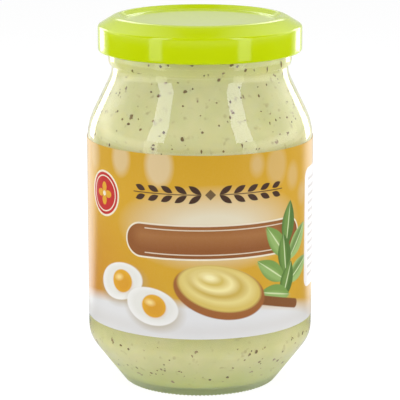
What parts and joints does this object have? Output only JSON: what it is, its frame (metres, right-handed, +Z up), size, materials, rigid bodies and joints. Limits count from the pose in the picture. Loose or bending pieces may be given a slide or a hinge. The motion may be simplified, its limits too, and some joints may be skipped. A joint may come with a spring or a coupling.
{
  "type": "jar of mayonnaise",
  "caption": "Glass jar of seeded mayonnaise with a wrap-round paper label and a painted twist-off metal lid.",
  "frame": {"origin": "centre of the underside of the base, on the surface the jar stands on", "axes": "+Z up along the jar's axis, -Y out of the front of the label, +X to the right seen from the front"},
  "size_m": [0.0672, 0.0673, 0.11],
  "materials": {
    "clear_glass": "clear, faintly green, smooth blown glass",
    "mayonnaise": "opaque, smooth and moist, pale yellow-green with dark mustard seed specks",
    "painted_tinplate": "gloss lime enamel on thin steel",
    "seal_compound": "soft matt sealing compound",
    "label_paper": "gloss coated paper, printed in orange, gold, brown, green and white"
  },
  "bodies": {
    "root": {"glass_jar": "clear_glass", "mayonnaise": "mayonnaise", "lid": "painted_tinplate", "sealing_ring": "seal_compound", "label": "label_paper"}
  },
  "joints": []
}
